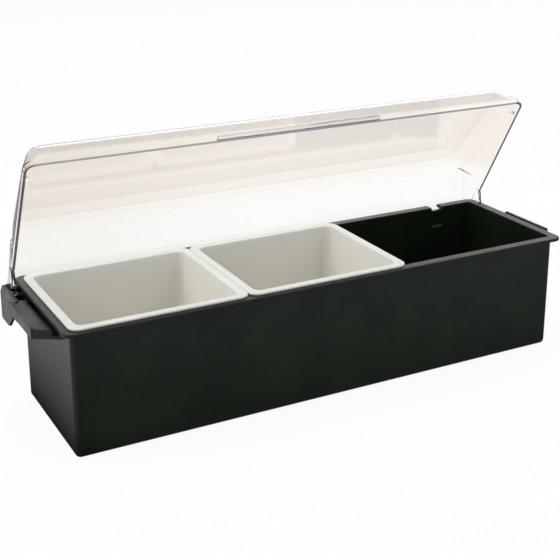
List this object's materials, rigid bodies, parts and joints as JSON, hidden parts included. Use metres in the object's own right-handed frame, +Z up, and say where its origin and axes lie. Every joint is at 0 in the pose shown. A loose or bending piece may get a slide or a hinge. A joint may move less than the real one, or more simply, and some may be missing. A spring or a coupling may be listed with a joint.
{
  "type": "condiment caddy",
  "caption": "Long countertop tray with end handles, lift-out tubs hanging on its rim, and a clear flip-up lid on end hinge pins.",
  "frame": {"origin": "middle of the tray's flat underside, midway between its end walls and between its front and rear walls", "axes": "+X along the tray to its right-hand end as seen from the front, +Y from the front to the hinge side at the back, +Z up"},
  "size_m": [0.524, 0.1692, 0.238],
  "materials": {
    "black_plastic": "black moulded plastic, satin",
    "pin_plastic": "black moulded plastic, matte",
    "clear_plastic": "clear, faintly warm moulded plastic, glossy",
    "white_plastic": "milky white moulded plastic, satin"
  },
  "bodies": {
    "caddy": {"tray": "black_plastic", "left_handle": "black_plastic", "right_handle": "black_plastic", "left_hinge_pin": "pin_plastic", "right_hinge_pin": "pin_plastic"},
    "lid": {"lid": "clear_plastic"},
    "left_tub": {"left_tub": "white_plastic"},
    "middle_tub": {"middle_tub": "white_plastic"}
  },
  "joints": [
    {"name": "lid_hinge", "type": "hinge", "parent": "caddy", "child": "lid", "pos_m": [0, 0.065, 0.1035], "axis": [-1, 0, 0], "range_deg": [-60.5, 0]},
    {"name": "left_tub_lift", "type": "slide", "parent": "caddy", "child": "left_tub", "axis": [0, 0, 1], "range_m": [0, 0.006]},
    {"name": "middle_tub_lift", "type": "slide", "parent": "caddy", "child": "middle_tub", "axis": [0, 0, 1], "range_m": [0, 0.006]}
  ]
}
